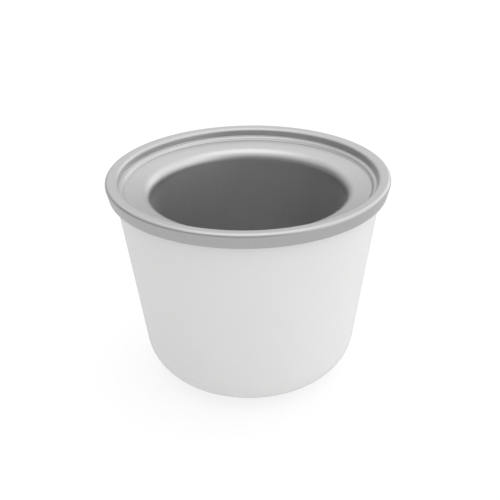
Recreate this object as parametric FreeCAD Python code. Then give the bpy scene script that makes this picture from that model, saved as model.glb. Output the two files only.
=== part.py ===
"""Freezer bowl of an ice cream maker: a double-walled vessel with coolant between its walls.

Every piece but the shell's drive notches is a body of revolution about +Z. The foot stands on z = 0.
All sizes are in millimetres.
"""
import FreeCAD, Part
import math
import os

os.makedirs("parts", exist_ok=True)

# Overall size
RIM_DIAMETER = 190.0       # widest point of the rim band
BOWL_HEIGHT = 145.5        # table to rim top

# Rim ring
BAND_HEIGHT = 10.0         # rim top to the lower edge of the outer band
BAND_DRAFT = 13.0          # degrees the band leans in towards its lower edge
RIM_TOP_WIDTH = 8.0        # widest point to the recess wall, across the top
RIM_TOP_FALL = 4.5         # degrees the top falls towards the recess
RIM_OUTER_ROUND = 2.2
RIM_INNER_ROUND = 2.6
RIM_TOP_WALL = 2.8
SKIRT_WALL = 2.4           # the band's wall
SKIRT_EDGE_ROUND = 0.6
RECESS_WALL = 1.4          # wall between the lid recess and the snap channel
RECESS_DEPTH = 8.0         # rim top to the flange of the inner bowl
RECESS_DRAFT = 1.0         # the recess wall leans in this far down to the ledge
LEDGE_DEPTH = 5.8          # rim top to the lid ledge
LEDGE_WIDTH = 1.7
LEDGE_FILLET = 0.5
LAP_REACH = 1.8            # level reach of the slope from the ledge down to the flange
LAP_EDGE = 0.25            # thickness left at the lap's inner edge
LAP_ROUND = 0.6
HOOK_HEIGHT = 1.7          # snap hook at the foot of the band

# Outer shell
SHELL_INSET = 6.1          # rim's widest point to the shell's face, at the band's lower edge
SHELL_DRAFT = 7.2          # degrees, shared by every wall of the vessel
SHELL_WALL = 2.6
SHELL_CORNER = 29.0        # outer radius of the rounded bottom
SHELF_REACH = 2.8          # how far the shelf under the jacket's flange stands in
SHELF_HEIGHT = 1.5
BEAD_HEIGHT = 1.4          # snap bead on the lip
BEAD_LEAD = 1.9            # sloped lead-in above the bead
BEAD_ROUND = 0.4
LIP_ROUND = 0.4

# Foot and drive socket under the shell
FOOT_WIDTH = 7.1           # flat ring that the bowl stands on
FOOT_ROUND = 0.8
SOCKET_DEPTH = 6.0
NOTCH_COUNT = 6
NOTCH_RADIUS = 5.0
NOTCH_DEPTH = 2.8          # how far a notch bites into the socket's wall
TROUGH_ROUND = 1.2

# Inner bowl
BOWL_SHEET = 1.2
BOWL_CORNER = 22.0
BOWL_LIP = 8.0             # radius of the rolled lip
FLANGE_LAND = 1.2          # level part of the flange inside the seam
FLANGE_DROP = 3.5          # fall of the flange from the seam to the lip
FLANGE_BEND = 6.0          # radius of the bend where the flange leaves the level

# Coolant jacket, its filling hole and the gasket
JACKET_WALL = 1.6
JACKET_CORNER = 30.0
JACKET_FLANGE = 2.0
SEAL_THICKNESS = 1.7
COOLANT_WALL = 13.0        # coolant between the jacket and the bowl's wall
COOLANT_DEPTH = 12.0       # coolant under the bowl
EXPANSION_SPACE = 10.0     # air left above the coolant
FILL_HOLE_DIAMETER = 12.0
BOSS_WALL = 4.5
BOSS_HEIGHT = 5.0
BOSS_ROUND = 0.8

# Plug and its O-ring
PLUG_HEAD_DIAMETER = 20.0
PLUG_HEAD = 2.8
PLUG_ROUND = 0.8
PLUG_BARB = 0.6            # how far the barb stands out over the hole's edge
PLUG_BARB_HEIGHT = 1.8
PLUG_WALL = 2.2
ORING_SECTION = 1.4

# Insulation
FOAM_SPACE = 4.0           # room for the sleeve between jacket and shell
PAD_THICKNESS = 4.0

# Clearances
SNAP_GAP = 0.3             # between the ring's channel and the shell's lip
NEST_GAP = 0.3             # between flange edges and the shell
LIP_GAP = 0.5              # over the shell's lip
FOAM_GAP = 0.2
FILL_GAP = 0.1             # between the coolant and its walls
PLUG_GAP = 0.15
ORING_GAP = 0.2            # beside the O-ring in its groove
PAD_GAP = 1.0              # round the pad's edges

# Slopes and heights that follow
SLOPE = math.tan(math.radians(SHELL_DRAFT))
RIM_R = RIM_DIAMETER / 2
BAND_Z = BOWL_HEIGHT - BAND_HEIGHT
BEAD_Z = BAND_Z + HOOK_HEIGHT
LEDGE_Z = BOWL_HEIGHT - LEDGE_DEPTH
FLANGE_Z = BOWL_HEIGHT - RECESS_DEPTH
SEAL_Z = FLANGE_Z - BOWL_SHEET
JACKET_TOP_Z = SEAL_Z - SEAL_THICKNESS
SHELF_Z = JACKET_TOP_Z - JACKET_FLANGE
FLOOR_Z = SOCKET_DEPTH + SHELL_WALL
JACKET_Z = FLOOR_Z + PAD_THICKNESS
COOLANT_Z = JACKET_Z + JACKET_WALL
BOSS_Z = COOLANT_Z + BOSS_HEIGHT
PLUG_Z = BOSS_Z + PLUG_BARB_HEIGHT
BOWL_Z = COOLANT_Z + COOLANT_DEPTH
FILL_Z = SEAL_Z - EXPANSION_SPACE

# Depths of the nested walls, measured level from the shell's outer face
JACKET_OUTSIDE = SHELL_WALL + FOAM_SPACE
JACKET_INSIDE = JACKET_OUTSIDE + JACKET_WALL
BOWL_OUTSIDE = JACKET_INSIDE + COOLANT_WALL
BOWL_INSIDE = BOWL_OUTSIDE + BOWL_SHEET


def cone_r(z, depth=0.0):
    """Radius at height z of the tapered wall that lies `depth` inside the shell's outer face."""
    return RIM_R - SHELL_INSET - (BAND_Z - z) * SLOPE - depth


def flat_r(z, depth, corner):
    """Radius where a wall's rounded bottom corner runs out into the flat floor at height z."""
    return cone_r(z, depth) - corner * math.tan(math.radians(90.0 - SHELL_DRAFT) / 2)


def band_r(z):
    """Outer radius of the rim band's straight flank at height z, tangent to the rounded top edge."""
    lean = math.tan(math.radians(BAND_DRAFT))
    overshoot = math.tan(math.radians(45.0 + BAND_DRAFT / 2)) - 1.0
    return RIM_R + RIM_OUTER_ROUND * overshoot - (BOWL_HEIGHT - z) * lean


def recess_r(z, depth=0.0):
    """Radius at height z of the leaning face that lies `depth` outside the lid recess's wall."""
    return RIM_R - RIM_TOP_WIDTH - (BOWL_HEIGHT - z) * RECESS_DRAFT / LEDGE_DEPTH + depth


def rim_corner():
    """Corner of the band's flank and the falling top, whose rounding just reaches the full height."""
    turn = math.radians(90.0 + RIM_TOP_FALL + BAND_DRAFT)
    middle = turn / 2 - math.radians(BAND_DRAFT)
    away = RIM_OUTER_ROUND / math.cos(turn / 2)
    corner_r = RIM_R - RIM_OUTER_ROUND + away * math.cos(middle)
    corner_z = BOWL_HEIGHT - RIM_OUTER_ROUND + away * math.sin(middle)
    return corner_r, corner_z, RIM_OUTER_ROUND


def recess_corner():
    """Corner of the falling top and the recess wall."""
    corner_r, corner_z, _ = rim_corner()
    fall = math.tan(math.radians(RIM_TOP_FALL))
    run = (corner_r - recess_r(corner_z)) / (1.0 - fall * RECESS_DRAFT / LEDGE_DEPTH)
    return corner_r - run, corner_z - run * fall, RIM_INNER_ROUND


# Radii that follow
LEDGE_R = recess_r(LEDGE_Z)
SLOPE_R = LEDGE_R - LEDGE_WIDTH
LAP_R = SLOPE_R - LAP_REACH
SHELF_R = cone_r(SHELF_Z, SHELL_WALL) - SHELF_REACH
NEST_R = recess_r(FLANGE_Z, RECESS_WALL) - NEST_GAP
FLANGE_R = NEST_R - NEST_GAP
SOCKET_R = flat_r(0.0, 0.0, SHELL_CORNER) - FOOT_WIDTH
FILL_HOLE_R = FILL_HOLE_DIAMETER / 2
BOSS_R = FILL_HOLE_R + BOSS_WALL
PLUG_HEAD_R = PLUG_HEAD_DIAMETER / 2
ORING_R = (FILL_HOLE_R + PLUG_HEAD_R) / 2


def rounded(point, before, after, radius):
    """Start, middle and end of the arc that rounds the corner at `point`."""
    toward = (before - point).normalize()
    away = (after - point).normalize()
    half = toward.getAngle(away) / 2
    reach = radius / math.tan(half)
    centre = point + (toward + away).normalize() * (radius / math.sin(half))
    middle = centre + (point - centre).normalize() * radius
    return point + toward * reach, middle, point + away * reach


def turned(corners):
    """Solid of revolution about Z of a closed outline.

    `corners` holds (radius, height) or (radius, height, rounding) for each corner in order.
    """
    points = [FreeCAD.Vector(corner[0], 0.0, corner[1]) for corner in corners]
    edges = []
    last = None
    first = None
    for index, corner in enumerate(corners):
        start = end = points[index]
        arc = None
        if len(corner) == 3:
            neighbours = points[index - 1], points[(index + 1) % len(points)]
            start, middle, end = rounded(points[index], *neighbours, corner[2])
            arc = Part.Arc(start, middle, end).toShape()
        if last is not None:
            edges.append(Part.makeLine(last, start))
        if arc is not None:
            edges.append(arc)
        first = start if first is None else first
        last = end
    edges.append(Part.makeLine(last, first))
    axis = FreeCAD.Vector(0, 0, 1)
    return Part.Face(Part.Wire(edges)).revolve(FreeCAD.Vector(), axis, 360)


def rim_ring():
    """Ring with an outer band, a stepped lid recess, a lap on the flange and a snap hook."""
    hook_r = cone_r(BEAD_Z) + SNAP_GAP
    channel_z = BOWL_HEIGHT - RIM_TOP_WALL
    return turned([
        (band_r(BAND_Z), BAND_Z, SKIRT_EDGE_ROUND),
        rim_corner(),
        recess_corner(),
        (LEDGE_R, LEDGE_Z, LEDGE_FILLET),
        (SLOPE_R, LEDGE_Z, LAP_ROUND),
        (LAP_R, FLANGE_Z + LAP_EDGE),
        (LAP_R, FLANGE_Z),
        (recess_r(FLANGE_Z, RECESS_WALL), FLANGE_Z),
        (recess_r(channel_z, RECESS_WALL), channel_z),
        (band_r(channel_z) - SKIRT_WALL, channel_z),
        (band_r(BEAD_Z) - SKIRT_WALL, BEAD_Z),
        (hook_r, BEAD_Z),
        (hook_r, BAND_Z),
    ])


def shell_body():
    """Solid of the shell's outside, with the foot, the socket, the snap bead and the lip."""
    bead_r = band_r(BEAD_Z) - SKIRT_WALL - SNAP_GAP
    bead_top_z = BEAD_Z + BEAD_HEIGHT
    lip_z = BOWL_HEIGHT - RIM_TOP_WALL - LIP_GAP
    return turned([
        (0.0, SOCKET_DEPTH),
        (SOCKET_R, SOCKET_DEPTH),
        (SOCKET_R, 0.0, FOOT_ROUND),
        (cone_r(0.0), 0.0, SHELL_CORNER),
        (cone_r(BEAD_Z), BEAD_Z),
        (bead_r, BEAD_Z, BEAD_ROUND),
        (bead_r, bead_top_z, BEAD_ROUND),
        (cone_r(bead_top_z + BEAD_LEAD), bead_top_z + BEAD_LEAD),
        (cone_r(lip_z), lip_z, LIP_ROUND),
        (0.0, lip_z),
    ])


def shell_cavity():
    """Hollow of the shell: trough behind the foot, tapered wall, shelf and the room for the flanges."""
    lip_z = BOWL_HEIGHT - RIM_TOP_WALL - LIP_GAP
    step_z = FLANGE_Z - SNAP_GAP
    shelf_foot_z = SHELF_Z - SHELF_HEIGHT
    below_z = shelf_foot_z - (cone_r(shelf_foot_z, SHELL_WALL) - SHELF_R)
    trough_r = SOCKET_R + SHELL_WALL
    return turned([
        (0.0, FLOOR_Z),
        (trough_r, FLOOR_Z, TROUGH_ROUND),
        (trough_r, SHELL_WALL, TROUGH_ROUND),
        (cone_r(SHELL_WALL, SHELL_WALL), SHELL_WALL, SHELL_CORNER - SHELL_WALL),
        (cone_r(below_z, SHELL_WALL), below_z),
        (SHELF_R, shelf_foot_z),
        (SHELF_R, SHELF_Z),
        (NEST_R, SHELF_Z),
        (NEST_R, step_z),
        (recess_r(step_z, RECESS_WALL + SNAP_GAP), step_z),
        (recess_r(lip_z, RECESS_WALL + SNAP_GAP), lip_z),
        (0.0, lip_z),
    ])


def notch_pattern(radius, low_z, high_z):
    """Upright cylinders of the given radius on the notch centres, spread round the socket."""
    centre_r = SOCKET_R + NOTCH_DEPTH - NOTCH_RADIUS
    pattern = []
    for index in range(NOTCH_COUNT):
        angle = 2 * math.pi * index / NOTCH_COUNT
        foot = FreeCAD.Vector(centre_r * math.cos(angle), centre_r * math.sin(angle), low_z)
        pattern.append(Part.makeCylinder(radius, high_z - low_z, foot))
    return pattern


def outer_shell():
    """Moulded shell: hollowed body, bosses behind the drive notches, and the notches."""
    body = shell_body()
    bosses = Part.makeCompound(notch_pattern(NOTCH_RADIUS + SHELL_WALL, 0.0, FLOOR_Z)).common(body)
    notches = notch_pattern(NOTCH_RADIUS, -SHELL_WALL, SOCKET_DEPTH)
    shell = body.cut(shell_cavity()).fuse(bosses.Solids).cut(notches)
    return shell.removeSplitter().Solids[0]


def inner_bowl():
    """Drawn sheet bowl: rounded floor, tapered wall, rolled lip and a flange under the rim ring."""
    bend_r = LAP_R - FLANGE_LAND
    lip_z = FLANGE_Z - FLANGE_DROP
    floor_z = BOWL_Z + BOWL_SHEET
    return turned([
        (0.0, floor_z),
        (cone_r(floor_z, BOWL_INSIDE), floor_z, BOWL_CORNER),
        (cone_r(lip_z, BOWL_INSIDE), lip_z, BOWL_LIP),
        (bend_r, FLANGE_Z, FLANGE_BEND),
        (FLANGE_R, FLANGE_Z),
        (FLANGE_R, SEAL_Z),
        (bend_r, SEAL_Z, FLANGE_BEND + BOWL_SHEET),
        (cone_r(lip_z - BOWL_SHEET, BOWL_OUTSIDE), lip_z - BOWL_SHEET, BOWL_LIP - BOWL_SHEET),
        (cone_r(BOWL_Z, BOWL_OUTSIDE), BOWL_Z, BOWL_CORNER + BOWL_SHEET),
        (0.0, BOWL_Z),
    ])


def flange_seal():
    """Flat gasket between the bowl's flange and the jacket's flange."""
    return turned([
        (LAP_R, JACKET_TOP_Z),
        (FLANGE_R, JACKET_TOP_Z),
        (FLANGE_R, SEAL_Z),
        (LAP_R, SEAL_Z),
    ])


def coolant_jacket():
    """Cup around the bowl with a flange on the shell's shelf and a filling hole in its floor."""
    return turned([
        (FILL_HOLE_R, JACKET_Z),
        (cone_r(JACKET_Z, JACKET_OUTSIDE), JACKET_Z, JACKET_CORNER + JACKET_WALL),
        (cone_r(SHELF_Z, JACKET_OUTSIDE), SHELF_Z),
        (FLANGE_R, SHELF_Z),
        (FLANGE_R, JACKET_TOP_Z),
        (cone_r(JACKET_TOP_Z, JACKET_INSIDE), JACKET_TOP_Z),
        (cone_r(COOLANT_Z, JACKET_INSIDE), COOLANT_Z, JACKET_CORNER),
        (BOSS_R, COOLANT_Z, BOSS_ROUND),
        (BOSS_R, BOSS_Z, BOSS_ROUND),
        (FILL_HOLE_R, BOSS_Z),
    ])


def coolant_gel():
    """Coolant that fills the jacket round and under the bowl, up to its expansion space."""
    low_z = COOLANT_Z + FILL_GAP
    high_z = BOWL_Z - FILL_GAP
    plug_top = PLUG_Z + FILL_GAP
    jacket_side = JACKET_INSIDE + FILL_GAP
    bowl_side = BOWL_OUTSIDE - FILL_GAP
    boss_side = BOSS_R + FILL_GAP
    return turned([
        (0.0, plug_top),
        (boss_side, plug_top),
        (boss_side, low_z, BOSS_ROUND),
        (cone_r(low_z, jacket_side), low_z, JACKET_CORNER - FILL_GAP),
        (cone_r(FILL_Z, jacket_side), FILL_Z),
        (cone_r(FILL_Z, bowl_side), FILL_Z),
        (cone_r(high_z, bowl_side), high_z, BOWL_CORNER + BOWL_SHEET + FILL_GAP),
        (0.0, high_z),
    ])


def fill_plug():
    """Push-in plug: head with an O-ring groove, hollow shank and a barb over the boss."""
    shank_r = FILL_HOLE_R - PLUG_GAP
    head_z = JACKET_Z - PLUG_HEAD
    groove_z = JACKET_Z - ORING_SECTION
    groove_half = ORING_SECTION / 2 + ORING_GAP
    core_r = shank_r - PLUG_WALL
    return turned([
        (core_r, head_z),
        (PLUG_HEAD_R, head_z, PLUG_ROUND),
        (PLUG_HEAD_R, JACKET_Z),
        (ORING_R + groove_half, JACKET_Z),
        (ORING_R + groove_half, groove_z),
        (ORING_R - groove_half, groove_z),
        (ORING_R - groove_half, JACKET_Z),
        (shank_r, JACKET_Z),
        (shank_r, BOSS_Z),
        (FILL_HOLE_R + PLUG_BARB, BOSS_Z),
        (core_r, PLUG_Z),
        (0.0, PLUG_Z),
        (0.0, BOSS_Z - PLUG_WALL),
        (core_r, BOSS_Z - PLUG_WALL),
    ])


def fill_plug_seal():
    """O-ring held between the plug's groove and the jacket's floor."""
    half = ORING_SECTION / 2
    return Part.makeTorus(ORING_R, half, FreeCAD.Vector(0, 0, JACKET_Z - half))


def insulation_sleeve():
    """Foam wrap between the straight walls of the jacket and the shell, under the shelf."""
    low_z = JACKET_Z + JACKET_CORNER + JACKET_WALL
    high_z = SHELF_Z - SHELF_HEIGHT - SHELF_REACH - FOAM_GAP
    jacket_side = JACKET_OUTSIDE - FOAM_GAP
    shell_side = SHELL_WALL + FOAM_GAP
    return turned([
        (cone_r(low_z, jacket_side), low_z),
        (cone_r(low_z, shell_side), low_z),
        (cone_r(high_z, shell_side), high_z),
        (cone_r(high_z, jacket_side), high_z),
    ])


def insulation_pad():
    """Foam disc between the shell's raised floor and the jacket, clear of the plug's head."""
    jacket_flat_r = flat_r(JACKET_Z, JACKET_OUTSIDE, JACKET_CORNER + JACKET_WALL)
    edge_r = min(SOCKET_R, jacket_flat_r) - PAD_GAP
    hole_r = PLUG_HEAD_R + PAD_GAP
    return turned([
        (hole_r, FLOOR_Z),
        (edge_r, FLOOR_Z),
        (edge_r, JACKET_Z),
        (hole_r, JACKET_Z),
    ])


PIECES = (
    outer_shell,
    rim_ring,
    inner_bowl,
    flange_seal,
    coolant_jacket,
    coolant_gel,
    fill_plug,
    fill_plug_seal,
    insulation_sleeve,
    insulation_pad,
)

for piece in PIECES:
    shape = piece()
    shape.exportStep(f"parts/{piece.__name__}.step")
    print(piece.__name__, shape.ShapeType, len(shape.Solids), "solid, valid", shape.isValid(),
          "volume", round(shape.Volume / 1000.0, 2), "cm3")
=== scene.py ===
"""Freezer bowl of an ice cream maker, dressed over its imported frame.

The white shell, the silver rim ring and the metal bowl are surfaces worked out on a grid: an outline of
straight runs and arcs is carried round the bowl's axis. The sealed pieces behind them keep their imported
shapes and get finishes of their own. Lengths are in metres.
"""

import logging
import math
from abc import ABC, abstractmethod
from dataclasses import dataclass
from enum import Enum
from typing import Any

import bpy
import numpy as np
from mathutils import Matrix, Vector


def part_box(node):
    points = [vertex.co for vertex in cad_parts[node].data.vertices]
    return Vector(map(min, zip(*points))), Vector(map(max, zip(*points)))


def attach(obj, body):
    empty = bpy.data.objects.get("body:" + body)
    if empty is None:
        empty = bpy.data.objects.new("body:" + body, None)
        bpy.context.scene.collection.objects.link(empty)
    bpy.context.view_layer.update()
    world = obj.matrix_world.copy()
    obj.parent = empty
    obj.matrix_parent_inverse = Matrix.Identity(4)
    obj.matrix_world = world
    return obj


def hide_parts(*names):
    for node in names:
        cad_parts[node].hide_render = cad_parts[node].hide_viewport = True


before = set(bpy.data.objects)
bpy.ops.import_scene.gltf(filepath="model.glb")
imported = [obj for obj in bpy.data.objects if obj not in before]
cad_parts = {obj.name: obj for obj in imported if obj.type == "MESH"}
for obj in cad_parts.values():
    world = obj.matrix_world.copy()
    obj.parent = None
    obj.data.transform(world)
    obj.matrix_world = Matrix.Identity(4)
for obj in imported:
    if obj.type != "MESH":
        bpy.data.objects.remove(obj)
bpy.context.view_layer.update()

MM = 0.001
BODY = "root"
LOG = logging.getLogger("freezer_bowl")

Socket = bpy.types.NodeSocket
Colour = tuple[float, float, float]
WHITE: Colour = (1.0, 1.0, 1.0)


class Slot(Enum):
    """Material slots of the record."""

    WHITE_SHELL = "white_shell"
    SILVER_RIM = "silver_rim"
    BOWL_ALUMINIUM = "bowl_aluminium"


class Detail(Enum):
    """How many finer layers a noise carries."""

    SMOOTH = 1.0
    PLAIN = 2.0
    RICH = 3.0
    DRIFTING = 4.0


# Outlines and the surfaces carried round the axis


@dataclass(frozen=True)
class Corner:
    """Corner of an outline: distance from the axis, height, and the radius that rounds it."""

    r: float
    z: float
    rounding: float = 0.0

    @property
    def point(self) -> np.ndarray:
        """The corner as an array of radius and height."""
        return np.array((self.r, self.z))


@dataclass(frozen=True)
class Outline:
    """Line of straight runs and arcs in a plane through the bowl's axis.

    Attributes:
        corners: the corners in order, up the outside and down the inside of a wall
        closed: whether the last corner joins the first; if not, both ends lie on the axis
        arc_step: turn between two points of a large arc, in radians
        arc_points: fewest points of an arc
        sagitta: how far a small arc's chords may lie inside it, so that it takes fewer points
        run_step: largest distance between two points of a straight run
        guard: distance from the end of a run to the point that keeps its shading flat
        guarded_run: shortest run that has guard points
    """

    corners: tuple[Corner, ...]
    closed: bool = True
    arc_step: float = math.radians(10.0)
    arc_points: int = 3
    sagitta: float = 0.005 * MM
    run_step: float = 20.0 * MM
    guard: float = 0.12 * MM
    guarded_run: float = 0.48 * MM

    def _arc(self, index: int) -> np.ndarray:
        """Points of the arc that rounds one corner.

        The arc touches both runs at rounding / tan(half the corner's angle) from the corner. Its points
        turn evenly about a centre on the corner's bisector.

        Args:
            index: which corner

        Returns:
            Array of shape (n, 2), a single point where the corner is sharp
        """
        corner = self.corners[index]
        here = corner.point
        if corner.rounding <= 0.0:
            return here[None, :]
        before = self.corners[index - 1].point - here
        after = self.corners[(index + 1) % len(self.corners)].point - here
        before /= np.linalg.norm(before)
        after /= np.linalg.norm(after)
        half = math.acos(float(np.clip(before @ after, -1.0, 1.0))) / 2
        bisector = (before + after) / np.linalg.norm(before + after)
        centre = here + bisector * corner.rounding / math.sin(half)
        reach = corner.rounding / math.tan(half)
        start = here + before * reach - centre
        end = here + after * reach - centre
        turn = math.pi - 2 * half
        step = max(self.arc_step, 2 * math.acos(1 - min(self.sagitta / corner.rounding, 1.0)))
        count = max(self.arc_points, math.ceil(turn / step) + 1)
        share = np.linspace(0.0, 1.0, count)[:, None]
        turned = np.sin((1 - share) * turn) * start + np.sin(share * turn) * end
        return centre + turned / math.sin(turn)

    def _run(self, start: np.ndarray, end: np.ndarray) -> np.ndarray:
        """Points strictly between the ends of a straight run, with a guard point near each end.

        Args:
            start: first end
            end: last end

        Returns:
            Array of shape (n, 2), empty for a short run
        """
        length = float(np.linalg.norm(end - start))
        if length < self.guarded_run:
            return np.empty((0, 2))
        near = self.guard / length
        count = max(2, math.ceil(length / self.run_step) + 1)
        share = np.linspace(near, 1 - near, count)[:, None]
        return start + (end - start) * share

    def points(self) -> np.ndarray:
        """Points along the whole outline, arcs and runs in turn.

        Returns:
            Array of shape (n, 2) of radius and height
        """
        arcs = [self._arc(index) for index in range(len(self.corners))]
        pieces = []
        for index, arc in enumerate(arcs):
            pieces.append(arc)
            if self.closed or index + 1 < len(arcs):
                pieces.append(self._run(arc[-1], arcs[(index + 1) % len(arcs)][0]))
        return np.vstack(pieces)


def carried_round(name: str, points: np.ndarray, closed: bool, steps: int,
                  spread: np.ndarray | None = None) -> bpy.types.Object:
    """Surface of an outline carried round the Z axis.

    A point of outline share u at turn v lies at (s cos v, s sin v, z(u)), with s = r(u) + spread(u, v).
    An open outline starts and ends on the axis, where a fan of triangles closes each pole.

    Args:
        name: name of the new object
        points: outline of shape (n, 2), radius and height
        closed: whether the outline's end joins its start
        steps: number of steps in one turn
        spread: what is added to the radius, of shape (n, steps)

    Returns:
        The new object, smooth shaded and linked to the scene
    """
    turn = np.linspace(0.0, 2 * np.pi, steps, endpoint=False)
    ring = points if closed else points[1:-1]
    radius = np.repeat(ring[:, :1], steps, axis=1)
    if spread is not None:
        radius = radius + (spread if closed else spread[1:-1])
    height = np.repeat(ring[:, 1:], steps, axis=1)
    grid = np.stack((radius * np.cos(turn), radius * np.sin(turn), height), axis=2)
    vertices = grid.reshape(-1, 3)

    rows = len(ring)
    count = rows * steps
    low = np.arange(rows if closed else rows - 1)[:, None] * steps
    high = (low + steps) % count
    here = np.arange(steps)
    there = np.roll(here, -1)
    quads = np.stack((low + here, low + there, high + there, high + here), axis=2).reshape(-1, 4)
    fans = np.empty((0, 3), int)
    if not closed:
        poles = np.array(((0.0, 0.0, points[0, 1]), (0.0, 0.0, points[-1, 1])))
        vertices = np.vstack((vertices, poles))
        last = count - steps
        first_fan = np.stack((np.full(steps, count), there, here), axis=1)
        last_fan = np.stack((np.full(steps, count + 1), last + here, last + there), axis=1)
        fans = np.vstack((first_fan, last_fan))
    return mesh_object(name, vertices, quads, fans)


def mesh_object(name: str, vertices: np.ndarray, quads: np.ndarray,
                triangles: np.ndarray) -> bpy.types.Object:
    """New smooth mesh object at the origin.

    Args:
        name: name of the object and its mesh
        vertices: array of shape (n, 3)
        quads: vertex numbers of the four-sided faces
        triangles: vertex numbers of the three-sided faces

    Returns:
        The object, linked to the scene
    """
    mesh = bpy.data.meshes.new(name)
    loops = np.concatenate((quads.ravel(), triangles.ravel())).astype(np.int32)
    sides = np.concatenate((np.full(len(quads), 4), np.full(len(triangles), 3))).astype(np.int32)
    starts = np.concatenate(((0,), np.cumsum(sides)[:-1])).astype(np.int32)
    mesh.vertices.add(len(vertices))
    mesh.vertices.foreach_set("co", vertices.astype(np.float32).ravel())
    mesh.loops.add(len(loops))
    mesh.loops.foreach_set("vertex_index", loops)
    mesh.polygons.add(len(sides))
    mesh.polygons.foreach_set("loop_start", starts)
    mesh.polygons.foreach_set("loop_total", sides)
    mesh.polygons.foreach_set("use_smooth", np.ones(len(sides), bool))
    mesh.update(calc_edges=True)
    mesh.validate()
    piece = bpy.data.objects.new(name, mesh)
    bpy.context.scene.collection.objects.link(piece)
    return piece


# Shader arithmetic


class Value:
    """Number socket of a shader. An expression on it adds the Math nodes that it needs."""

    NOISE_MEAN = 0.5

    def __init__(self, shader: "Shader", socket: Socket) -> None:
        """Wrap one output socket of a shader."""
        self.shader = shader
        self.socket = socket

    def _math(self, operation: str, *operands: "Value | float") -> "Value":
        """Result of one Math node on the operands."""
        node = self.shader.node("ShaderNodeMath", {"operation": operation}, dict(enumerate(operands)))
        return Value(self.shader, node.outputs[0])

    def __add__(self, other: "Value | float") -> "Value":
        """Sum."""
        return self._math("ADD", self, other)

    __radd__ = __add__

    def __sub__(self, other: "Value | float") -> "Value":
        """Difference."""
        return self._math("SUBTRACT", self, other)

    def __rsub__(self, other: float) -> "Value":
        """Difference from a number."""
        return self._math("SUBTRACT", other, self)

    def __mul__(self, other: "Value | float") -> "Value":
        """Product."""
        return self._math("MULTIPLY", self, other)

    __rmul__ = __mul__

    def __truediv__(self, other: "Value | float") -> "Value":
        """Quotient."""
        return self._math("DIVIDE", self, other)

    def __rtruediv__(self, other: float) -> "Value":
        """Quotient of a number."""
        return self._math("DIVIDE", other, self)

    def __pow__(self, other: float) -> "Value":
        """Power."""
        return self._math("POWER", self, other)

    def length_with(self, other: "Value") -> "Value":
        """Length of the plane vector whose parts are this value and another."""
        return (self * self + other * other) ** 0.5

    def angle_with(self, other: "Value") -> "Value":
        """Angle of the plane vector whose upright part is this value and whose level part is another."""
        return self._math("ARCTAN2", self, other)

    def larger(self, other: "Value | float") -> "Value":
        """The larger of two values."""
        return self._math("MAXIMUM", self, other)

    def swing(self, width: float) -> "Value":
        """Swing of a noise about nought, `width` from its lowest to its highest."""
        return (self - self.NOISE_MEAN) * width

    def eased(self, low: float, high: float) -> "Value":
        """Smooth step.

        Args:
            low: where the step leaves 0
            high: where it reaches 1

        Returns:
            Value between 0 and 1
        """
        settings = {"interpolation_type": "SMOOTHSTEP"}
        inputs = {"Value": self, "From Min": low, "From Max": high}
        return Value(self.shader, self.shader.node("ShaderNodeMapRange", settings, inputs).outputs[0])


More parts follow.
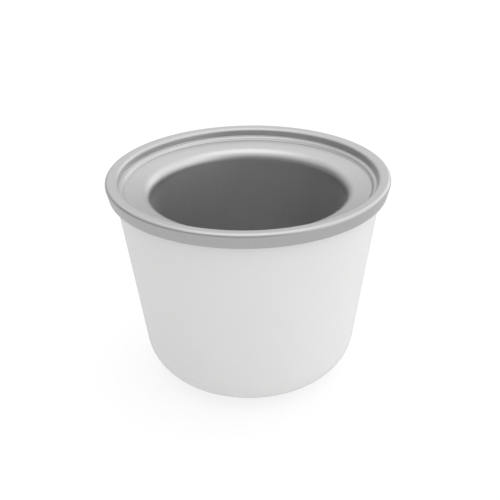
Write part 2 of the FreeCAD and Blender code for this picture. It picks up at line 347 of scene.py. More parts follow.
class Shader:
    """Node tree of one material or world, with the one method that adds nodes to it."""

    def __init__(self, tree: bpy.types.NodeTree) -> None:
        """Empty a node tree and take it over."""
        tree.nodes.clear()
        self.tree = tree

    def node(self, kind: str, settings: dict[str, Any] | None = None,
             inputs: dict[str | int, Any] | None = None) -> bpy.types.Node:
        """Add one node.

        Args:
            kind: Blender's name of the node type
            settings: properties that are set before the sockets
            inputs: socket name or number, to a number, a vector, a Value or a socket

        Returns:
            The new node
        """
        node = self.tree.nodes.new(kind)
        for key, setting in (settings or {}).items():
            setattr(node, key, setting)
        for key, value in (inputs or {}).items():
            source = value.socket if isinstance(value, Value) else value
            if isinstance(source, Socket):
                self.tree.links.new(source, node.inputs[key])
            else:
                node.inputs[key].default_value = source
        return node

    def place(self) -> Socket:
        """Object coordinates of the surface, in metres."""
        return self.node("ShaderNodeTexCoord").outputs["Object"]

    def split(self, vector: Socket) -> tuple[Value, Value, Value]:
        """The three parts of a vector."""
        parts = self.node("ShaderNodeSeparateXYZ", inputs={"Vector": vector}).outputs
        return Value(self, parts[0]), Value(self, parts[1]), Value(self, parts[2])

    def joined(self, x: Value | float, y: Value | float, z: Value | float) -> Socket:
        """A vector from its three parts."""
        return self.node("ShaderNodeCombineXYZ", inputs={0: x, 1: y, 2: z}).outputs[0]

    def noise(self, where: Socket, detail: Detail, size: float = 1.0) -> Value:
        """Noise between 0 and 1 with features of about `size`, in the units of `where`."""
        inputs = {"Vector": where, "Scale": 1.0 / size, "Detail": detail.value}
        return Value(self, self.node("ShaderNodeTexNoise", inputs=inputs).outputs[0])

    def cells(self, where: Socket, size: float) -> Value:
        """Distance from the centre of the nearest cell, for cells of about `size`."""
        inputs = {"Vector": where, "Scale": 1.0 / size}
        return Value(self, self.node("ShaderNodeTexVoronoi", inputs=inputs).outputs["Distance"])

    def tone(self, share: Value, first: Colour, second: Colour) -> Socket:
        """Colour between two colours.

        Args:
            share: 0 for the first colour, 1 for the second
            first: one colour
            second: the other

        Returns:
            Socket of the mixed colour
        """
        settings = {"data_type": "RGBA"}
        inputs = {0: share, 6: opaque(first), 7: opaque(second)}
        return self.node("ShaderNodeMix", settings, inputs).outputs[2]

    def relief(self, height: Value, depth: float, normal: Socket | None = None) -> Socket:
        """Normal of a surface whose height varies.

        Args:
            height: the height, between 0 and 1
            depth: what a height of 1 stands for, in metres
            normal: a relief that this one lies on

        Returns:
            Socket of the normal
        """
        inputs = {"Height": height, "Distance": depth, "Strength": 1.0}
        if normal is not None:
            inputs["Normal"] = normal
        return self.node("ShaderNodeBump", inputs=inputs).outputs[0]

    def diffuse(self, level: float) -> Socket:
        """Matt grey surface."""
        grey = opaque(shaded(WHITE, level))
        return self.node("ShaderNodeBsdfDiffuse", inputs={"Color": grey}).outputs[0]

    def glowing(self, colour: Socket | tuple[float, ...], strength: float) -> Socket:
        """Surface that gives off light of one colour."""
        return self.node("ShaderNodeEmission", inputs={"Color": colour, "Strength": strength}).outputs[0]

    def added(self, first: Socket, second: Socket) -> Socket:
        """Two surfaces in one."""
        return self.node("ShaderNodeAddShader", inputs={0: first, 1: second}).outputs[0]

    def chosen(self, share: Value, first: Socket, second: Socket) -> Socket:
        """One of two surfaces, or a mixture of them."""
        return self.node("ShaderNodeMixShader", inputs={0: share, 1: first, 2: second}).outputs[0]

    def close(self, surface: Socket) -> None:
        """Send a surface to the material's output."""
        self.node("ShaderNodeOutputMaterial", inputs={"Surface": surface})

    def surface(self, inputs: dict[str, Any]) -> None:
        """Close the material with one physically based surface."""
        self.close(self.node("ShaderNodeBsdfPrincipled", inputs=inputs).outputs[0])


def shaded(colour: Colour, share: float) -> Colour:
    """A colour multiplied by a share."""
    return colour[0] * share, colour[1] * share, colour[2] * share


def opaque(colour: Colour) -> tuple[float, float, float, float]:
    """A colour with full alpha, as sockets take it."""
    return *colour, 1.0


# Finishes


class Finish(ABC):
    """Finish of a surface. Its patterns lie on Object coordinates."""

    def material(self, name: str) -> bpy.types.Material:
        """New material of this finish.

        Args:
            name: name of the material

        Returns:
            The material
        """
        material = bpy.data.materials.new(name)
        material.use_nodes = True
        self.paint(Shader(material.node_tree))
        return material

    @abstractmethod
    def paint(self, shader: Shader) -> None:
        """Fill an empty shader with the finish's nodes.

        Args:
            shader: the empty shader
        """


@dataclass(frozen=True)
class GlossPlastic(Finish):
    """Gloss moulded plastic: faint flow clouding, a fine orange peel and a scuffed foot."""

    colour: Colour = (0.865, 0.865, 0.861)
    dull: float = 0.965             # share of the colour where it is clouded or scuffed
    cloud_share: float = 0.6
    scuff_share: float = 0.4
    roughness: float = 0.26
    cloud_roughness: float = 0.05
    scuff_roughness: float = 0.25
    refraction: float = 1.5
    cloud_size: float = 45 * MM
    peel_size: float = 2.4 * MM
    peel_depth: float = 0.002 * MM
    scuff_size: float = 0.72 * MM
    scuff_height: float = 1.6 * MM  # how far the scuffing reaches up from the table
    scuff_from: float = 0.45        # noise at which a scuff starts
    scuff_full: float = 0.7         # noise at which it is full

    def paint(self, shader: Shader) -> None:
        """Cloud the colour, scuff the foot and raise the orange peel.

        Args:
            shader: the empty shader
        """
        place = shader.place()
        height = shader.split(place)[2]
        cloud = shader.noise(place, Detail.RICH, self.cloud_size)
        peel = shader.noise(place, Detail.SMOOTH, self.peel_size)
        scratches = shader.noise(place, Detail.PLAIN, self.scuff_size)
        foot = 1 - height.eased(0.0, self.scuff_height)
        scuff = foot * scratches.eased(self.scuff_from, self.scuff_full)
        worn = cloud * self.cloud_share + scuff * self.scuff_share
        shader.surface({
            "Base Color": shader.tone(worn, self.colour, shaded(self.colour, self.dull)),
            "Roughness": cloud.swing(self.cloud_roughness) + scuff * self.scuff_roughness + self.roughness,
            "Normal": shader.relief(peel, self.peel_depth),
            "IOR": self.refraction,
        })


@dataclass(frozen=True)
class SilverPaint(Finish):
    """Satin metal-effect paint: fine flake, a grain under it and faint rubbing along the rim."""

    colour: Colour = (0.527, 0.527, 0.531)
    dark: float = 0.8            # shares of the colour between which the flake varies
    bright: float = 1.2
    flake_share: float = 0.6
    grain_share: float = 0.4
    metal: float = 0.78
    roughness: float = 0.32
    flake_roughness: float = 0.15
    rub_roughness: float = 0.08
    flake_size: float = 0.22 * MM
    grain_size: float = 0.7 * MM
    grain_depth: float = 0.008 * MM
    rub_radius: float = 90 * MM  # distance from the axis at which rubbing has its length
    rub_length: float = 14 * MM
    rub_width: float = 0.5 * MM

    def paint(self, shader: Shader) -> None:
        """Scatter the flake, raise the grain and draw the rubbing round the axis.

        Args:
            shader: the empty shader
        """
        place = shader.place()
        x, y, z = shader.split(place)
        radius = x.length_with(y)
        along = y.angle_with(x) * (self.rub_radius / self.rub_length)
        rubbed = shader.joined(along, radius / self.rub_width, z / self.rub_width)
        rub = shader.noise(rubbed, Detail.PLAIN)
        flake = shader.noise(place, Detail.SMOOTH, self.flake_size)
        grain = shader.noise(place, Detail.PLAIN, self.grain_size)
        light = flake * self.flake_share + grain * self.grain_share
        sheen = rub.swing(self.rub_roughness) + light.swing(self.flake_roughness)
        dark, bright = shaded(self.colour, self.dark), shaded(self.colour, self.bright)
        shader.surface({
            "Base Color": shader.tone(light, dark, bright),
            "Metallic": self.metal,
            "Roughness": sheen + self.roughness,
            "Normal": shader.relief(grain, self.grain_depth),
        })


@dataclass(frozen=True)
class SatinAluminium(Finish):
    """Drawn and satin-blasted aluminium: fine pits, faint draw lines down the wall and soft clouding.

    The inside below the lip is blasted rougher than the lip and the flange, and its colour is darkened
    there as painted shade.
    """

    colour: Colour = (0.533, 0.533, 0.537)
    dark: float = 0.7              # shares of the colour between which it varies
    bright: float = 1.1
    pit_share: float = 0.5
    line_share: float = 0.3
    cloud_share: float = 0.2
    lift: float = 0.25             # what brings the flange near the bright end
    inside_painted_shade: float = 0.48      # painted shade: what takes the inside's colour near the dark end
    inside_top: float = 133 * MM   # height at which the inside's blasting and painted shade start
    inside_full: float = 124 * MM  # height at which both are full
    roughness: float = 0.30
    inside_roughness: float = 0.62
    cloud_roughness: float = 0.06
    line_roughness: float = 0.05
    pit_size: float = 0.45 * MM
    pit_depth: float = 0.011 * MM
    cloud_size: float = 30 * MM
    line_radius: float = 67 * MM   # distance from the axis at which a draw line has its width
    line_width: float = 0.9 * MM
    line_length: float = 60 * MM
    line_depth: float = 0.004 * MM

    def paint(self, shader: Shader) -> None:
        """Pit and cloud the metal, draw lines down its wall, roughen its inside and paint shade into it.

        Args:
            shader: the empty shader
        """
        place = shader.place()
        x, y, z = shader.split(place)
        turn = y.angle_with(x) * (self.line_radius / self.line_width)
        drawn = shader.joined(turn, x.length_with(y) / self.line_length, z / self.line_length)
        lines = shader.noise(drawn, Detail.RICH)
        pits = shader.noise(place, Detail.PLAIN, self.pit_size)
        cloud = shader.noise(place, Detail.RICH, self.cloud_size)
        light = pits * self.pit_share + lines * self.line_share + cloud * self.cloud_share
        # Share of the way down the inside: it roughens the blasting and drives the painted shade
        inside = 1 - z.eased(self.inside_full, self.inside_top)
        blasted = inside * (self.inside_roughness - self.roughness) + self.roughness
        sheen = cloud.swing(self.cloud_roughness) + lines.swing(self.line_roughness)
        # Painted shade: the colour darkens down the inside of the bowl
        tone = light - inside * self.inside_painted_shade + self.lift
        dark, bright = shaded(self.colour, self.dark), shaded(self.colour, self.bright)
        shader.surface({
            "Base Color": shader.tone(tone, dark, bright),
            "Metallic": 1.0,
            "Roughness": sheen + blasted,
            "Normal": shader.relief(lines, self.line_depth, shader.relief(pits, self.pit_depth)),
        })


@dataclass(frozen=True)
class MatteMoulding(Finish):
    """Plain moulding with a spark-eroded grain, for rubber and for unpolished plastic."""

    colour: Colour
    roughness: float
    dark: float = 0.9  # shares of the colour between which it varies
    bright: float = 1.1
    grain_share: float = 0.5
    cloud_share: float = 0.5
    grain_roughness: float = 0.1
    grain_size: float = 0.5 * MM
    grain_depth: float = 0.012 * MM
    cloud_size: float = 18 * MM

    def paint(self, shader: Shader) -> None:
        """Cloud the colour and raise the grain.

        Args:
            shader: the empty shader
        """
        place = shader.place()
        grain = shader.noise(place, Detail.RICH, self.grain_size)
        cloud = shader.noise(place, Detail.PLAIN, self.cloud_size)
        light = grain * self.grain_share + cloud * self.cloud_share
        dark, bright = shaded(self.colour, self.dark), shaded(self.colour, self.bright)
        shader.surface({
            "Base Color": shader.tone(light, dark, bright),
            "Roughness": grain.swing(self.grain_roughness) + self.roughness,
            "Normal": shader.relief(grain, self.grain_depth),
        })


@dataclass(frozen=True)
class BeadFoam(Finish):
    """Expanded bead foam: round beads pressed together, with dark joints between them."""

    colour: Colour = (0.88, 0.88, 0.86)
    joint: float = 0.82      # share of the colour in the joints
    joint_share: float = 0.8
    fine_share: float = 0.2
    roughness: float = 0.75
    fine_roughness: float = 0.15
    bead_size: float = 3.2 * MM
    bead_depth: float = 0.25 * MM
    bead_edge: float = 0.25  # share of a bead's size at which it falls away
    bead_foot: float = 0.75  # share at which the joint is deepest
    fine_size: float = 0.64 * MM

    def paint(self, shader: Shader) -> None:
        """Round the beads and darken their joints.

        Args:
            shader: the empty shader
        """
        place = shader.place()
        edge = shader.cells(place, self.bead_size).eased(self.bead_edge, self.bead_foot)
        fine = shader.noise(place, Detail.PLAIN, self.fine_size)
        shade = edge * self.joint_share + fine * self.fine_share
        shader.surface({
            "Base Color": shader.tone(shade, self.colour, shaded(self.colour, self.joint)),
            "Roughness": fine * self.fine_roughness + self.roughness,
            "Normal": shader.relief(1 - edge, self.bead_depth),
        })


@dataclass(frozen=True)
class FrozenGel(Finish):
    """Coolant: a pale blue gel with drifting clouds and small bubbles."""

    colour: Colour = (0.34, 0.54, 0.72)
    frost: Colour = (0.62, 0.76, 0.86)
    cloud_share: float = 0.7
    bubble_share: float = 0.3
    roughness: float = 0.12
    cloud_roughness: float = 0.15
    cloud_size: float = 22 * MM
    bubble_size: float = 2.5 * MM
    bubble_core: float = 0.1   # share of a cell inside which a bubble is full
    bubble_edge: float = 0.22  # share of a cell at which it ends
    bubble_depth: float = 0.1 * MM

    def paint(self, shader: Shader) -> None:
        """Frost the gel in clouds and raise its bubbles.

        Args:
            shader: the empty shader
        """
        place = shader.place()
        cloud = shader.noise(place, Detail.DRIFTING, self.cloud_size)
        bubble = 1 - shader.cells(place, self.bubble_size).eased(self.bubble_core, self.bubble_edge)
        frosted = cloud * self.cloud_share + bubble * self.bubble_share
        shader.surface({
            "Base Color": shader.tone(frosted, self.colour, self.frost),
            "Roughness": cloud * self.cloud_roughness + self.roughness,
            "Normal": shader.relief(bubble, self.bubble_depth),
        })


@dataclass(frozen=True)
class LightTable(Finish):
    """White table top that shines a little, takes the bowl's shadow and lights its rounded base.

    The camera and mirrors see a pale surface that glows nearly white. What the table lights sees a
    grey one with a weaker light of its own.
    """

    bounce: float = 0.6         # how pale it is to the light that falls on it
    light: float = 0.34         # its own light on the bowl
    shown: float = 0.3          # part of its look that takes the shadow
    glow: float = 0.72          # steady part of its look
    mirror_share: float = 0.58  # share of the steady part that metal mirrors
    seen_by: tuple[str, ...] = ("Is Camera Ray", "Is Glossy Ray", "Is Transmission Ray")

    def paint(self, shader: Shader) -> None:
        """Show one surface to the camera and to mirrors, and another to the light.

        Args:
            shader: the empty shader
        """
        path = shader.node("ShaderNodeLightPath").outputs
        camera, glossy, transmitted = (Value(shader, path[name]) for name in self.seen_by)
        seen = camera.larger(glossy).larger(transmitted)
        mirrored = shader.tone(glossy, WHITE, shaded(WHITE, self.mirror_share))
        lighting = shader.added(shader.diffuse(self.bounce), shader.glowing(opaque(WHITE), self.light))
        looking = shader.added(shader.diffuse(self.shown), shader.glowing(mirrored, self.glow))
        shader.close(shader.chosen(seen, lighting, looking))


# The bowl's pieces


def half_width(node: str) -> float:
    """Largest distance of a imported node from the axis."""
    low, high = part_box(node)
    return max(-low.x, high.x, -low.y, high.y)


def fitted(piece: bpy.types.Object, node: str, material: bpy.types.Material) -> None:
    """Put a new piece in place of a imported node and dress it.

    Args:
        piece: the new piece
        node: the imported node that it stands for
        material: its finish
    """
    piece.data.materials.append(material)
    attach(piece, BODY)
    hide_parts(node)
    LOG.info("%s stands for %s: %d faces", piece.name, node, len(piece.data.polygons))


@dataclass
class Vessel:
    """Sizes that the walls of the bowl share."""

    rim_r: float                      # the rim's widest point
    rim_z: float                      # the rim's top
    band_z: float                     # lower edge of the rim's band
    draft: float = math.radians(7.2)  # taper of every wall
    inset: float = 6.1 * MM           # rim's widest point to the shell's face, at the band's edge
    edge: float = 0.15 * MM           # rounding of corners that are sharp to the eye
    turn_steps: int = 540

    @classmethod
    def from_frame(cls) -> "Vessel":
        """The shared sizes, with the rim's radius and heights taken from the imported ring."""
        low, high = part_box("rim_ring")
        return cls(rim_r=half_width("rim_ring"), rim_z=high.z, band_z=low.z)

    def cone_r(self, z: float, depth: float = 0.0) -> float:
        """Radius at height z of the tapered wall that lies `depth` inside the shell's outer face."""
        return self.rim_r - self.inset - (self.band_z - z) * math.tan(self.draft) - depth


@dataclass
class RimRing:
    """Silver ring with an outer band, a stepped lid recess, a lap on the flange and a snap hook."""

    vessel: Vessel
    band_draft: float = math.radians(13.0)  # lean of the band, in towards its lower edge
    top_width: float = 8.0 * MM             # rim's widest point to the recess's wall
    top_fall: float = math.radians(4.5)     # fall of the top towards the recess
    outer_round: float = 2.2 * MM
    inner_round: float = 2.6 * MM
    top_wall: float = 2.8 * MM
    skirt_wall: float = 2.4 * MM            # the band's wall
    skirt_round: float = 0.6 * MM
    recess_wall: float = 1.4 * MM           # wall between the recess and the snap channel
    recess_draft: float = 1.0 * MM          # how far the recess's wall leans in down to the ledge
    recess_depth: float = 8.0 * MM          # rim's top to the bowl's flange
    ledge_depth: float = 5.8 * MM           # rim's top to the lid ledge
    ledge_width: float = 1.7 * MM
    ledge_fillet: float = 0.5 * MM
    lap_reach: float = 1.8 * MM             # the ledge's inner edge to the seam
    lap_round: float = 2.3 * MM
    lap_tail: float = 0.3 * MM              # thin tail of the lap, beside the seam
    tail_height: float = 0.12 * MM
    tail_round: float = 1.0 * MM
    lap_edge: float = 0.06 * MM             # thickness left at the seam
    seam_round: float = 0.03 * MM
    hook_height: float = 1.7 * MM
    snap_gap: float = 0.3 * MM              # between the ring's channel and the shell's lip

    def band_r(self, z: float) -> float:
        """Outer radius of the band's straight flank.

        The flank touches the rounding of the top edge, whose widest point is the rim's radius.

        Args:
            z: height on the flank

        Returns:
            The radius there
        """
        overshoot = math.tan(math.pi / 4 + self.band_draft / 2) - 1.0
        lean = math.tan(self.band_draft)
        return self.vessel.rim_r + self.outer_round * overshoot - (self.vessel.rim_z - z) * lean

    def recess_r(self, z: float, depth: float = 0.0) -> float:
        """Radius of the recess's leaning wall, or of a face that follows it.

        Args:
            z: height on the wall
            depth: how far the face lies outside the wall

        Returns:
            The radius there
        """
        lean = self.recess_draft / self.ledge_depth
        return self.vessel.rim_r - self.top_width - (self.vessel.rim_z - z) * lean + depth

    def top_corner(self) -> Corner:
        """Corner of the band's flank and the sloping top, whose rounding just reaches the rim's height.

        The rounding's centre lies outer_round in from the rim's widest point and below its top. The
        corner lies on the bisector of the two faces' normals, outer_round / cos(half the angle between
        them) away.

        Returns:
            The corner with its rounding
        """
        turn = math.pi / 2 + self.top_fall + self.band_draft
        middle = turn / 2 - self.band_draft
        away = self.outer_round / math.cos(turn / 2)
        r = self.vessel.rim_r - self.outer_round + away * math.cos(middle)
        z = self.vessel.rim_z - self.outer_round + away * math.sin(middle)
        return Corner(r, z, self.outer_round)

    def recess_corner(self) -> Corner:
        """Corner where the sloping top meets the recess's leaning wall.

        Returns:
            The corner with its rounding
        """
        start = self.top_corner()
        slope = math.tan(self.top_fall)
        lean = self.recess_draft / self.ledge_depth
        run = (start.r - self.recess_r(start.z)) / (1 - slope * lean)
        return Corner(start.r - run, start.z - run * slope, self.inner_round)

    @property
    def lap_r(self) -> float:
        """Radius of the lap's inner edge, where the ring meets the bowl's flange in a fine seam."""
        return self.recess_r(self.vessel.rim_z - self.ledge_depth) - self.ledge_width - self.lap_reach

    def outline(self) -> Outline:
        """Section of the ring, up the band, over the top, down the recess and back through the channel.

        Returns:
            The closed outline
        """
        top, low, edge = self.vessel.rim_z, self.vessel.band_z, self.vessel.edge
        ledge_z, flange_z = top - self.ledge_depth, top - self.recess_depth
        bead_z, channel_z = low + self.hook_height, top - self.top_wall
        ledge_r = self.recess_r(ledge_z)
        lap_r = self.lap_r
        hook_r = self.vessel.cone_r(bead_z) + self.snap_gap
        return Outline((
            Corner(self.band_r(low), low, self.skirt_round),
            self.top_corner(),
            self.recess_corner(),
            Corner(ledge_r, ledge_z, self.ledge_fillet),
            Corner(ledge_r - self.ledge_width, ledge_z, self.lap_round),
            Corner(lap_r + self.lap_tail, flange_z + self.tail_height, self.tail_round),
            Corner(lap_r, flange_z + self.lap_edge, self.seam_round),
            Corner(lap_r, flange_z, self.seam_round),
            Corner(self.recess_r(flange_z, self.recess_wall), flange_z, edge),
            Corner(self.recess_r(channel_z, self.recess_wall), channel_z, edge),
            Corner(self.band_r(channel_z) - self.skirt_wall, channel_z, edge),
            Corner(self.band_r(bead_z) - self.skirt_wall, bead_z, edge),
            Corner(hook_r, bead_z, edge),
            Corner(hook_r, low, edge),
        ))

    def build(self) -> bpy.types.Object:
        """Mesh of the ring."""
        return carried_round("rim_ring_satin", self.outline().points(), True, self.vessel.turn_steps)

    def dress(self, piece: bpy.types.Object) -> None:
        """Finish the ring in satin silver."""
        fitted(piece, "rim_ring", SilverPaint().material("rim_silver"))


@dataclass
class InnerBowl:
    """Drawn metal bowl: rounded floor, tapered wall, rolled lip and a flange under the ring."""

    vessel: Vessel
    ring: RimRing
    sheet: float = 1.2 * MM         # thickness of the metal
    wall_depth: float = 22.4 * MM   # shell's outer face to the bowl's inside, measured level
    corner: float = 22.0 * MM       # inside radius of the rounded floor
    lip: float = 8.0 * MM           # radius of the rolled lip
    flange_land: float = 0.35 * MM  # level part of the flange inside the seam
    flange_drop: float = 3.5 * MM   # fall of the flange from the seam to the lip
    flange_bend: float = 6.0 * MM   # radius where the flange leaves the level
    arc_step: float = math.radians(5.0)

    def outline(self) -> Outline:
        """Section of the sheet, from the middle of its underside round to the middle of its floor.

        Returns:
            The open outline
        """
        vessel, sheet, edge = self.vessel, self.sheet, self.vessel.edge
        low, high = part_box("inner_bowl")
        under_z, flange_z = low.z, high.z
        flange_r = half_width("inner_bowl")
        outside = self.wall_depth - sheet
        bend_r = self.ring.lap_r - self.flange_land
        lip_z = flange_z - self.flange_drop
        floor_z = under_z + sheet
        return Outline((
            Corner(0.0, under_z),
            Corner(vessel.cone_r(under_z, outside), under_z, self.corner + sheet),
            Corner(vessel.cone_r(lip_z - sheet, outside), lip_z - sheet, self.lip - sheet),
            Corner(bend_r, flange_z - sheet, self.flange_bend + sheet),
            Corner(flange_r, flange_z - sheet, edge),
            Corner(flange_r, flange_z, edge),
            Corner(bend_r, flange_z, self.flange_bend),
            Corner(vessel.cone_r(lip_z, self.wall_depth), lip_z, self.lip),
            Corner(vessel.cone_r(floor_z, self.wall_depth), floor_z, self.corner),
            Corner(0.0, floor_z),
        ), closed=False, arc_step=self.arc_step)

    def build(self) -> bpy.types.Object:
        """Mesh of the bowl."""
        return carried_round("inner_bowl_satin", self.outline().points(), False, self.vessel.turn_steps)

    def dress(self, piece: bpy.types.Object) -> None:
        """Finish the bowl in satin aluminium."""
        metal = SatinAluminium().material("bowl_satin_aluminium")
        fitted(piece, "inner_bowl", metal)


@dataclass
class OuterShell:
    """White moulded shell with a foot, a notched drive socket, a snap bead and a shelf inside."""

    vessel: Vessel
    ring: RimRing
    wall: float = 2.6 * MM
    corner: float = 29.0 * MM         # outer radius of the rounded bottom
    foot_width: float = 7.1 * MM      # flat ring that the bowl stands on
    foot_round: float = 0.8 * MM
    socket_depth: float = 6.0 * MM
    socket_fillet: float = 0.4 * MM
    trough_round: float = 1.2 * MM
    jacket_flange: float = 2.0 * MM   # thickness of the flange that lies on the shelf
    shelf_reach: float = 2.8 * MM     # how far the shelf stands in from the wall
    shelf_height: float = 1.5 * MM
    nest_gap: float = 0.3 * MM        # between the flanges' edges and the shell
    bead_height: float = 1.4 * MM
    bead_lead: float = 1.9 * MM       # sloped lead-in above the bead
    bead_round: float = 0.4 * MM
    notch_count: int = 6
    notch_radius: float = 5.0 * MM
    notch_depth: float = 2.8 * MM     # how far a notch bites into the socket's wall
    notch_ease: float = 0.25 * MM     # easing of a notch's two corners
    ceiling_still: float = 28.0 * MM  # radius inside which the ceiling's points don't move
    arc_step: float = math.radians(6.0)

    @property
    def foot_r(self) -> float:
        """Radius where the rounded bottom runs out into the flat foot."""
        return self.vessel.cone_r(0.0) - self.corner * math.tan((math.pi / 2 - self.vessel.draft) / 2)

    @property
    def socket_r(self) -> float:
        """Radius of the drive socket."""
        return self.foot_r - self.foot_width

    def outline(self) -> Outline:
        """Section of the shell, from the socket's ceiling round the outside and down the inside.

        Returns:
            The open outline
        """
        vessel, ring, wall, edge = self.vessel, self.ring, self.wall, self.vessel.edge
        lip_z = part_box("outer_shell")[1].z
        bead_z = vessel.band_z + ring.hook_height
        bead_r = ring.band_r(bead_z) - ring.skirt_wall - ring.snap_gap
        bead_top = bead_z + self.bead_height
        lead_z = bead_top + self.bead_lead
        flange_z = vessel.rim_z - ring.recess_depth
        step_z = flange_z - ring.snap_gap
        nest_r = ring.recess_r(flange_z, ring.recess_wall) - self.nest_gap
        shelf_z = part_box("coolant_jacket")[1].z - self.jacket_flange
        shelf_r = vessel.cone_r(shelf_z, wall) - self.shelf_reach
        shelf_foot = shelf_z - self.shelf_height
        below_z = shelf_foot - (vessel.cone_r(shelf_foot, wall) - shelf_r)
        lip_depth = ring.recess_wall + ring.snap_gap
        floor_z = self.socket_depth + wall
        trough_r = self.socket_r + wall + self.notch_depth
        return Outline((
            Corner(0.0, self.socket_depth),
            Corner(self.socket_r, self.socket_depth, self.socket_fillet),
            Corner(self.socket_r, 0.0, self.foot_round),
            Corner(vessel.cone_r(0.0), 0.0, self.corner),
            Corner(vessel.cone_r(bead_z), bead_z, edge),
            Corner(bead_r, bead_z, self.bead_round),
            Corner(bead_r, bead_top, self.bead_round),
            Corner(vessel.cone_r(lead_z), lead_z, edge),
            Corner(vessel.cone_r(lip_z), lip_z, self.bead_round),
            Corner(ring.recess_r(lip_z, lip_depth), lip_z, edge),
            Corner(ring.recess_r(step_z, lip_depth), step_z, edge),
            Corner(nest_r, step_z, edge),
            Corner(nest_r, shelf_z, edge),
            Corner(shelf_r, shelf_z, edge),
            Corner(shelf_r, shelf_foot, edge),
            Corner(vessel.cone_r(below_z, wall), below_z, edge),
            Corner(vessel.cone_r(wall, wall), wall, self.corner - wall),
            Corner(trough_r, wall, self.trough_round),
            Corner(trough_r, floor_z, self.trough_round),
            Corner(0.0, floor_z),
        ), closed=False, arc_step=self.arc_step)

    def spread(self, points: np.ndarray) -> np.ndarray:
        """How far each point of the shell moves out for the drive notches.

        A notch is a circle of notch_radius that bites notch_depth into the socket's wall. At turn v from
        its middle its far side lies at c cos v + sqrt(notch_radius^2 - (c sin v)^2) from the axis, with
        c the distance of its centre. What that exceeds the socket's radius by, with its corner eased,
        moves the socket's wall fully, and the ceiling and the foot less with distance from the wall.

        Args:
            points: the shell's outline, of shape (n, 2)

        Returns:
            Array of shape (n, turn_steps)
        """
        turn = np.linspace(0.0, 2 * np.pi, self.vessel.turn_steps, endpoint=False)
        pitch = 2 * np.pi / self.notch_count
        off = (turn + pitch / 2) % pitch - pitch / 2
        centre = self.socket_r + self.notch_depth - self.notch_radius
        room = np.maximum(self.notch_radius ** 2 - (centre * np.sin(off)) ** 2, 0.0)
        over = centre * np.cos(off) + np.sqrt(room) - self.socket_r
        bite = (over + np.sqrt(over ** 2 + self.notch_ease ** 2)) / 2

        radius, height = points.T
        ceiling = np.interp(radius, (self.ceiling_still, self.socket_r), (0.0, 1.0))
        foot = np.interp(radius, (self.socket_r + self.foot_round, self.foot_r), (1.0, 0.0))
        share = np.where(height > self.socket_depth / 2, ceiling, foot)
        # From the rounded bottom on, the outside and the inside of the shell stay round
        share[int(np.argmax(radius > self.foot_r)):] = 0.0
        return share[:, None] * bite

    def build(self) -> bpy.types.Object:
        """Mesh of the shell."""
        points, steps = self.outline().points(), self.vessel.turn_steps
        return carried_round("outer_shell_gloss", points, False, steps, self.spread(points))

    def dress(self, piece: bpy.types.Object) -> None:
        """Finish the shell in gloss white."""
        fitted(piece, "outer_shell", GlossPlastic().material("shell_white"))


@dataclass
class ColdPack:
    """The sealed pieces between the bowl and the shell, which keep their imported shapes."""

    seal: Finish = MatteMoulding((0.035, 0.035, 0.037), roughness=0.7)
    jacket: Finish = MatteMoulding((0.74, 0.75, 0.73), roughness=0.45)
    plug: Finish = MatteMoulding((0.16, 0.17, 0.19), roughness=0.5)
    foam: Finish = BeadFoam()
    gel: Finish = FrozenGel()

    def dress(self) -> None:
        """Give each sealed piece its finish."""
        seal = self.seal.material("seal_rubber")
        foam = self.foam.material("bead_foam")
        finishes = {
            "flange_seal": seal,
            "fill_plug_seal": seal,
            "coolant_jacket": self.jacket.material("jacket_plastic"),
            "fill_plug": self.plug.material("plug_plastic"),
            "insulation_sleeve": foam,
            "insulation_pad": foam,
            "coolant_gel": self.gel.material("coolant_gel"),
        }
        for node, material in finishes.items():
            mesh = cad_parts[node].data
            mesh.materials.clear()
            mesh.materials.append(material)
            LOG.info("%s keeps its packed shape, dressed in %s", node, material.name)


# Floor, light and camera


@dataclass(frozen=True)
class Glow:
    """Part of the sky that brightens along one direction.

    Attributes:
        start: share of the direction at which it starts, 0 square to it and 1 straight along it
        full: share at which it is full
        strength: its light there
    """

    start: float
    full: float
    strength: float = 1.0

    def along(self, way: Value) -> Value:
        """Light of this part, for a value that says how far the sky lies along its direction."""
        return way.eased(self.start, self.full) * self.strength


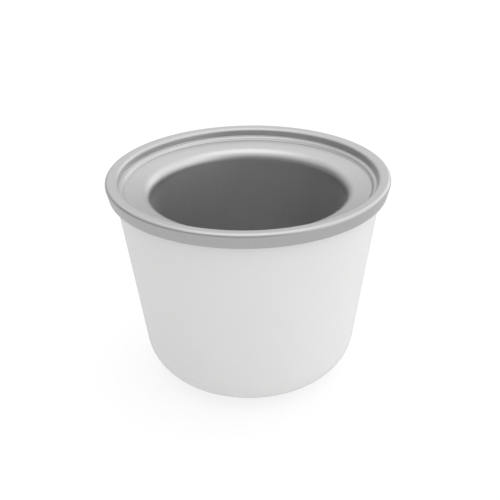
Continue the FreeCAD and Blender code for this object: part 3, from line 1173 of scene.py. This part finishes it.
@dataclass
class Studio:
    """White table, a soft studio sky and the photograph's camera."""

    table_size: float = 8.0
    table_gap: float = 0.1 * MM              # the table's top lies this far under the foot
    room: float = 0.225                      # light from everywhere
    upper: Glow = Glow(0.15, 0.75, 0.675)
    overhead: Glow = Glow(0.75, 1.0, 0.75)
    right_side: Glow = Glow(0.2, 0.95, 0.75)
    backdrop: Glow = Glow(0.3, 1.0, 0.45)
    corner_side: Glow = Glow(0.1, 0.6, 0.6)  # light from the far right corner, by how far right
    corner_back: Glow = Glow(0.4, 0.9)       # the same light, by how far back
    view_distance: float = 580.4 * MM
    view_elevation: float = math.radians(28.871)
    view_middle: float = 72.75 * MM          # height that the camera stands round
    view_pitch: float = math.radians(1.16)
    view_pan: float = math.radians(0.063)
    view_roll: float = math.radians(-0.98)
    focal_pixels: float = 816.3
    image_pixels: int = 500
    sensor_width: float = 36.0               # in the millimetres that lenses are given in

    def table(self) -> None:
        """Light table under the bowl."""
        half = self.table_size / 2
        corners = np.array(((-half, -half), (half, -half), (half, half), (-half, half)))
        vertices = np.column_stack((corners, np.full(len(corners), -self.table_gap)))
        floor = mesh_object("studio_floor", vertices, np.array(((0, 1, 2, 3),)), np.empty((0, 3), int))
        floor.data.materials.append(LightTable().material("studio_floor"))

    def sky(self) -> None:
        """Soft light from all round.

        It is bright overhead, on the right and behind, and dim on the left and in front. The camera sees
        it as plain white, and the metal mirrors its bright and dim parts.
        """
        world = bpy.data.worlds.new("studio_sky")
        world.use_nodes = True
        bpy.context.scene.world = world
        shader = Shader(world.node_tree)
        x, y, z = shader.split(shader.node("ShaderNodeTexCoord").outputs["Generated"])
        light = (self.upper.along(z) + self.overhead.along(z) + self.right_side.along(x)
                 + self.backdrop.along(y)
                 + self.corner_side.along(x) * self.corner_back.along(y) + self.room)
        camera = Value(shader, shader.node("ShaderNodeLightPath").outputs["Is Camera Ray"])
        strength = light * (1 - camera) + camera
        sky = shader.node("ShaderNodeBackground", inputs={"Color": opaque(WHITE), "Strength": strength})
        shader.node("ShaderNodeOutputWorld", inputs={"Surface": sky.outputs[0]})

    def camera(self) -> None:
        """Camera at the photograph's viewing angle.

        It stands at view_distance and view_elevation from the bowl's middle, on the -Y side, and is then
        panned, pitched and rolled a little, as the photograph was framed.
        """
        back = Vector((0.0, -math.cos(self.view_elevation), math.sin(self.view_elevation)))
        right = Vector((1.0, 0.0, 0.0))
        place = Vector((0.0, 0.0, self.view_middle)) + back * self.view_distance
        axes = Matrix((right, back.cross(right), back)).transposed()
        aim = (Matrix.Rotation(-self.view_pan, 3, "Y") @ Matrix.Rotation(self.view_pitch, 3, "X")
               @ Matrix.Rotation(self.view_roll, 3, "Z"))
        lens = bpy.data.cameras.new("photo_camera")
        lens.sensor_width = self.sensor_width
        lens.lens = self.focal_pixels / self.image_pixels * self.sensor_width
        camera = bpy.data.objects.new("photo_camera", lens)
        camera.matrix_world = Matrix.Translation(place) @ (axes @ aim).to_4x4()
        bpy.context.scene.collection.objects.link(camera)
        bpy.context.scene.camera = camera

    def build(self) -> None:
        """Set up the table, the light and the camera."""
        self.table()
        self.sky()
        self.camera()
        bpy.context.scene.view_settings.view_transform = "Standard"


def main() -> None:
    """Build the bowl's pieces, dress them and set up the studio."""
    logging.basicConfig(level=logging.INFO, format="%(name)s: %(message)s")
    vessel = Vessel.from_frame()
    ring = RimRing(vessel)
    for part in (OuterShell(vessel, ring), ring, InnerBowl(vessel, ring)):
        part.dress(part.build())
    ColdPack().dress()
    Studio().build()


if __name__ == "__main__":
    main()
